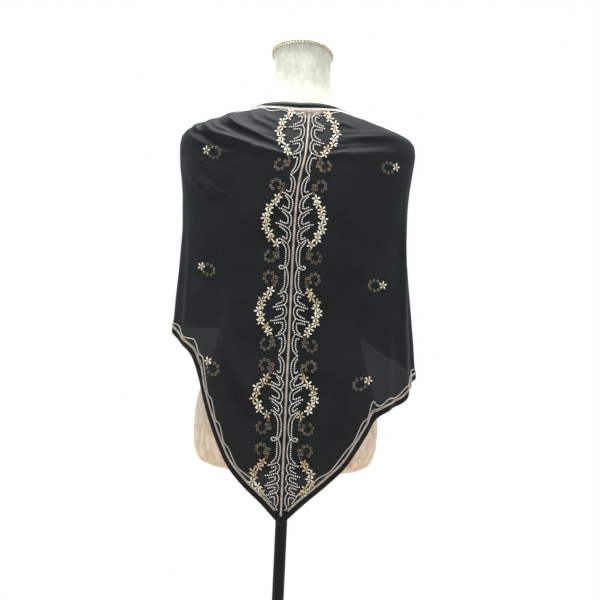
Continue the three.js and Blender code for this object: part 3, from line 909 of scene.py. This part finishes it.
# Ring beads: two curls on each side between garlands, a chain from each to its garland, and a wreath for each
# sprig
def ringList():
    curl = {"across": 38, "up": 0.46, "radius": 8.6, "rings": 7, "start": 140, "step": 47}
    chain = {"rings": 4, "near": 25, "bow": 2, "from": 0.95, "run": 0.5}
    wreath = {"rings": 9, "long": 11.4, "wide": 8.8}
    rings = []
    for upper, lower in zip(motifs, motifs[1:]):
        bottom, top = upper[0] - upper[1], lower[0] + lower[1]
        middle, half = (bottom + top) / 2, (bottom - top) / 2
        for hand, column in ((-1, 3), (1, 5)):
            for end, side in ((upper[column], 1), (lower[column], -1)):
                for k in range(curl["rings"]):
                    a = math.radians(curl["start"] + curl["step"] * k)
                    across = hand * (curl["across"] + curl["radius"] * math.cos(a))
                    up = half * curl["up"] + curl["radius"] * math.sin(a)
                    rings.append((across, middle + side * up))
                for k in range(chain["rings"]):
                    w = k / (chain["rings"] - 1)
                    across = end + (chain["near"] - end) * w - chain["bow"] * math.sin(math.pi * w)
                    rings.append((hand * across, middle + side * half * (chain["from"] - chain["run"] * w)))
    rings = [(float(spineShift(height)) + across, height) for across, height in rings]
    for across, height, angle in sprigs:
        hand = -1 if across < 0 else 1
        c, s = math.cos(math.radians(angle)), math.sin(math.radians(angle))
        for k in range(wreath["rings"]):
            b = 2 * math.pi * (k + 0.5) / wreath["rings"]
            x, z = wreath["long"] * math.cos(b), wreath["wide"] * math.sin(b)
            rings.append((across + hand * (x * c + z * s), height - x * s + z * c))
    return np.array(rings)


def makeRings():
    spots = ringList()
    centres, axes = placeBeads(spots[:, 0], spots[:, 1], chiffonHalf + ring["radius"] * ring["thick"])
    piece = scatter("bead_rings", ringBead, centres, axes, sizesOf(len(spots), ring["radius"]), bronzeRings)
    return settle(piece, "beadwork")


# Beads in a row inside an edge: inward gives the distance from the edge for each millimetre along it
def edgeRow(edge, first, last, inward, pitch):
    station = np.linspace(first, last, 1400)
    along = lengthAlong(clothPoint(station, edgeDrop(station, edge, bindingWide)))
    drop = edgeDrop(station, edge, inward(along))
    length = lengthAlong(clothPoint(station, drop))
    picks = np.arange(pitch / 2, length[-1], pitch)
    return np.interp(picks, length, station), np.interp(picks, length, drop)


def makeEdgeBeads(name, edge, rows, bead, material):
    picked = [edgeRow(edge, first, last, inward, bead["pitch"]) for first, last, inward in rows]
    station, drop = (np.concatenate(column) for column in zip(*picked))
    out = clothNormal(station, drop)
    centres = clothPoint(station, drop) + out * (chiffonHalf + bead["radius"] * beadSink)
    right = unit(np.cross([0.0, 0.0, 1.0], out))
    axes = np.stack([right, np.cross(out, right), out], 1)
    sizes = sizesOf(len(station), bead["radius"])
    return settle(scatter(name, seedBall, centres, axes, sizes, material), "beadwork")


def even(inward):
    return lambda along: inward + 0 * along


# Its waves are uneven in length
def wavy(base, swing, period):
    uneven = {"by": 0.8, "over": 37}
    return lambda along: (
        base + swing * np.sin(np.pi * along / period + uneven["by"] * np.sin(along / uneven["over"])) ** 2
    )


edgeEnd = tipStation - 0.9
rowBead = {"radius": 1.05, "pitch": 2.05}
lineBead = {"radius": 0.9, "pitch": 2.2}
nape = {"middle": 0.36, "half": 0.95, "narrows": 0.13, "rows": 7, "first": 17.2, "step": 2}
napeRows = [
    (
        nape["middle"] - nape["half"] + nape["narrows"] * k,
        nape["middle"] + nape["half"] - nape["narrows"] * k,
        even(nape["first"] + nape["step"] * k),
    )
    for k in range(nape["rows"])
]
hemRight, hemLeft, neckEdge = (0.3, edgeEnd), (-edgeEnd, -0.3), (-edgeEnd, edgeEnd)
rightLine, leftLine = (0.45, edgeEnd), (-edgeEnd, -0.45)
hemRows, neckRows = (10.4, 12.4), (13.0, 15.4)
beadPieces = [makeSpine(), makeFronds(), *makeFlowers(), makeRings()]
beadPieces += [
    makeEdgeBeads("bead_edge_neck", 0, [(*neckEdge, even(d)) for d in neckRows], rowBead, silverBeads),
    makeEdgeBeads("bead_edge_hem_right", 1, [(*hemRight, even(d)) for d in hemRows], rowBead, roseBeads),
    makeEdgeBeads("bead_edge_hem_left", 1, [(*hemLeft, even(d)) for d in hemRows], rowBead, roseBeads),
    makeEdgeBeads("bead_nape_band", 0, napeRows, rowBead, mauveBeads),
    makeEdgeBeads("bead_line_neck", 0, [(*neckEdge, wavy(18.4, 4, 42))], lineBead, silverBeads),
    makeEdgeBeads("bead_line_hem_right", 1, [(*rightLine, wavy(15.5, 4.4, 46))], lineBead, silverBeads),
    makeEdgeBeads("bead_line_hem_left", 1, [(*leftLine, wavy(15.5, 5, 52))], lineBead, silverBeads),
]
print("beadwork", sum(len(piece.data.polygons) for piece in beadPieces))

# Crushed velvet of the form's cover: off-white at the neck, faintly mottled where the pile lies different
# ways; the more beige, darker tone at the hips is painted shade for the dimmer, warmer light low on the form
velvetLook = {
    "low": "#b4b6aa",
    "high": "#cccec2",
    # Painted shade: the darker, warmer beige the cover turns to toward the hips, standing in for dimmer warm
    # light low on the form
    "paintedShadeBelow": [("#b9a185", "#dbcab4")],
    "paintedShadeFadeMm": (760, 1150),
    "patchMm": 11,
    "grainMm": 1.6,
    "bump": 0.35,
    "stretch": (1, 1, 0.55),
    "shader": {
        "Roughness": 0.85,
        "Specular IOR Level": 0.2,
        "Sheen Weight": 0.5,
        "Sheen Roughness": 0.35,
        "Sheen Tint": colour("#fff8ec"),
    },
}
velvet = makeMaterial("crushed_velvet_cream", velvetLook)
# Metallic gold thread: warm, with small bright flecks
braidLook = {
    "low": "#9d8f6d",
    "high": "#e4dcc4",
    "patchMm": 3,
    "grainMm": 0.5,
    "bump": 0.3,
    "shader": {"Metallic": 0.35, "Roughness": 0.4, "Specular IOR Level": 0.5},
}
goldThread = makeMaterial("gold_thread", braidLook)
# Black powder coat: near black, with a broad soft highlight
steelLook = {
    "low": "#040404",
    "high": "#070708",
    "patchMm": 40,
    "grainMm": 0.9,
    "bump": 0.1,
    "shader": {"Roughness": 0.5, "Specular IOR Level": 0.2},
}
blackSteel = makeMaterial("black_powder_coat", steelLook)


# A point on the form's skin, out from it; the cut top of the neck tips, higher at the back
def formPoint(turn, height, out=0.0):
    across, behind = np.sin(np.radians(turn)), np.cos(np.radians(turn))
    depth = np.where(behind >= 0, formBack(height), formFront(height))
    y = -(depth + out) * behind
    tip = smoothStep(height, neckTilt["start"], neckTilt["top"]) * math.tan(math.radians(neckTilt["degrees"]))
    return np.stack([(formSide(height) + out) * across, y, height - y * tip], -1)


def makeCover():
    form = {"around": 144, "hipRows": 23, "rows": 187, "hip": 790}
    turn = np.linspace(0, 360, form["around"], endpoint=False)
    hip = np.linspace(formSections[0][0], form["hip"], form["hipRows"], endpoint=False)
    height = np.concatenate([hip, np.linspace(form["hip"], neckTilt["top"], form["rows"])])
    rings = formPoint(*np.broadcast_arrays(turn[None, :], height[:, None]))
    rows, around = rings.shape[:2]
    faces = gridFaces(rows, around, closed=True)
    ends = np.stack([rings[0].mean(0), rings[-1].mean(0)])
    count = rows * around
    for k in range(around):
        after = (k + 1) % around
        faces.append([count, after, k])
        faces.append([count + 1, count - around + k, count - around + after])
    points = np.concatenate([rings.reshape(-1, 3), ends])
    return settle(meshPiece("form_cover", points, faces, velvet), "velvet_cover", "form_torso")


# Two rows of slanted strands that meet in a herringbone
def makeBraid():
    braid = {"below": 3, "wide": 8.5, "row": 0.23, "out": 1.9}
    strand = {"count": 64, "half": (3.3, 1.35, 1.5), "lean": 38}
    middle = neckTilt["top"] - braid["below"] - braid["wide"] / 2
    turn = np.linspace(0, 360, strand["count"], endpoint=False)
    centres, axes = [], []
    for row, shift in ((-1, 0.0), (1, 0.5)):
        angle = turn + shift * 360 / strand["count"]
        height = np.full_like(angle, middle + row * braid["wide"] * braid["row"])
        out = surfaceNormal(formPoint, angle, height)
        right = unit(np.cross([0.0, 0.0, 1.0], out))
        up = np.cross(out, right)
        lean = math.radians(strand["lean"] * row)
        along = math.cos(lean) * right + math.sin(lean) * up
        centres.append(formPoint(angle, height, braid["out"]))
        axes.append(np.stack([along, np.cross(out, along), out], 1))
    centres, axes = np.concatenate(centres), np.concatenate(axes)
    piece = scatter("neck_braid", petalBall, centres, axes, sizesOf(len(centres), strand["half"]), goldThread)
    return settle(piece, "gold_braid", "form_neck_braid")


# A turned piece about the pole's axis, from (radius, height) pairs that start and end on the axis
def turnedPiece(name, outline, node):
    turning = {"around": 96, "ease": 0.6, "steps": 2, "sharp": 30}
    around = turning["around"]
    points = []
    for radius, height in outline[1:-1]:
        for k in range(around):
            a = 2 * math.pi * k / around
            points.append((radius * math.cos(a), radius * math.sin(a), height))
    rows = len(outline) - 2
    faces = gridFaces(rows, around, closed=True)
    faces.append(list(range(around))[::-1])
    faces.append(list(range((rows - 1) * around, rows * around)))
    piece = meshPiece(name, points, faces, blackSteel, smooth=False)
    bevel = piece.modifiers.new("eased_edges", "BEVEL")
    bevel.width = turning["ease"] * metresPerMm
    bevel.segments = turning["steps"]
    bevel.limit_method = "ANGLE"
    bevel.angle_limit = math.radians(turning["sharp"])
    piece.data.polygons.foreach_set("use_smooth", [len(f.vertices) == 4 for f in piece.data.polygons])
    return settle(piece, "black_steel", node)


formCover = makeCover()
makeBraid()
# Outlines of the stand, as radius and height
flange = [(0, 709.7), (17, 709.7), (17, 735.7), (42, 735.7), (42, 744.7), (0, 744.7)]
pole = [(0, 34.3), (11, 34.3), (11, 709.4), (0, 709.4)]
base = [(0, 0), (161, 0), (165, 4), (161, 9), (26, 13), (22, 34), (0, 34)]
turnedPiece("stand_flange_plate", flange, "stand_flange")
turnedPiece("stand_pole_tube", pole, "stand_pole")
turnedPiece("stand_base_plate", base, "stand_base")
print("form and stand made")

# Plain pale floor, white surroundings and a broad soft light overhead
floorLook = {
    "low": "#e6ddd0",
    "high": "#ece5da",
    "patchMm": 300,
    "grainMm": 3,
    "bump": 0.02,
    "shader": {"Roughness": 0.6},
}
floorMaterial = makeMaterial("pale_floor", floorLook)
floorDisc = {"radius": 1080, "sides": 96, "below": 0.5}
floorTurn = 2 * np.pi * np.arange(floorDisc["sides"]) / floorDisc["sides"]
floorRim = np.stack(
    [
        floorDisc["radius"] * np.cos(floorTurn),
        floorDisc["radius"] * np.sin(floorTurn),
        np.full_like(floorTurn, -floorDisc["below"]),
    ],
    1,
)
floor = meshPiece("floor", floorRim, [list(range(floorDisc["sides"]))], floorMaterial)

world = bpy.data.worlds.new("white_studio")
world.use_nodes = True
world.node_tree.nodes["Background"].inputs["Color"].default_value = (1, 1, 1, 1)
world.node_tree.nodes["Background"].inputs["Strength"].default_value = 1.0
scene = bpy.context.scene
scene.world = world
scene.view_settings.view_transform = "Standard"

topLight = {"place": (-0.12, -0.1, 2.75), "aim": (0, 0, 1.3), "power": 66, "size": 0.7}
light = bpy.data.lights.new("top_soft", "AREA")
light.energy, light.size = topLight["power"], topLight["size"]
lamp = bpy.data.objects.new("top_soft", light)
scene.collection.objects.link(lamp)
lamp.location = topLight["place"]
lampAim = Vector(topLight["aim"]) - Vector(topLight["place"])
lamp.rotation_euler = lampAim.to_track_quat("-Z", "Y").to_euler()

# Level with the lower back, a little to the right, and rolled slightly as the picture was taken
photoView = {"place": (0.0157, -1.3, 1.049), "roll": -2.63, "lens": 42.16, "sensor": 36}
camera = bpy.data.cameras.new("photo_view")
camera.sensor_width, camera.lens = photoView["sensor"], photoView["lens"]
cameraObject = bpy.data.objects.new("photo_view", camera)
scene.collection.objects.link(cameraObject)
cameraObject.location = photoView["place"]
cameraObject.rotation_euler = (math.pi / 2, math.radians(photoView["roll"]), 0)
scene.camera = cameraObject
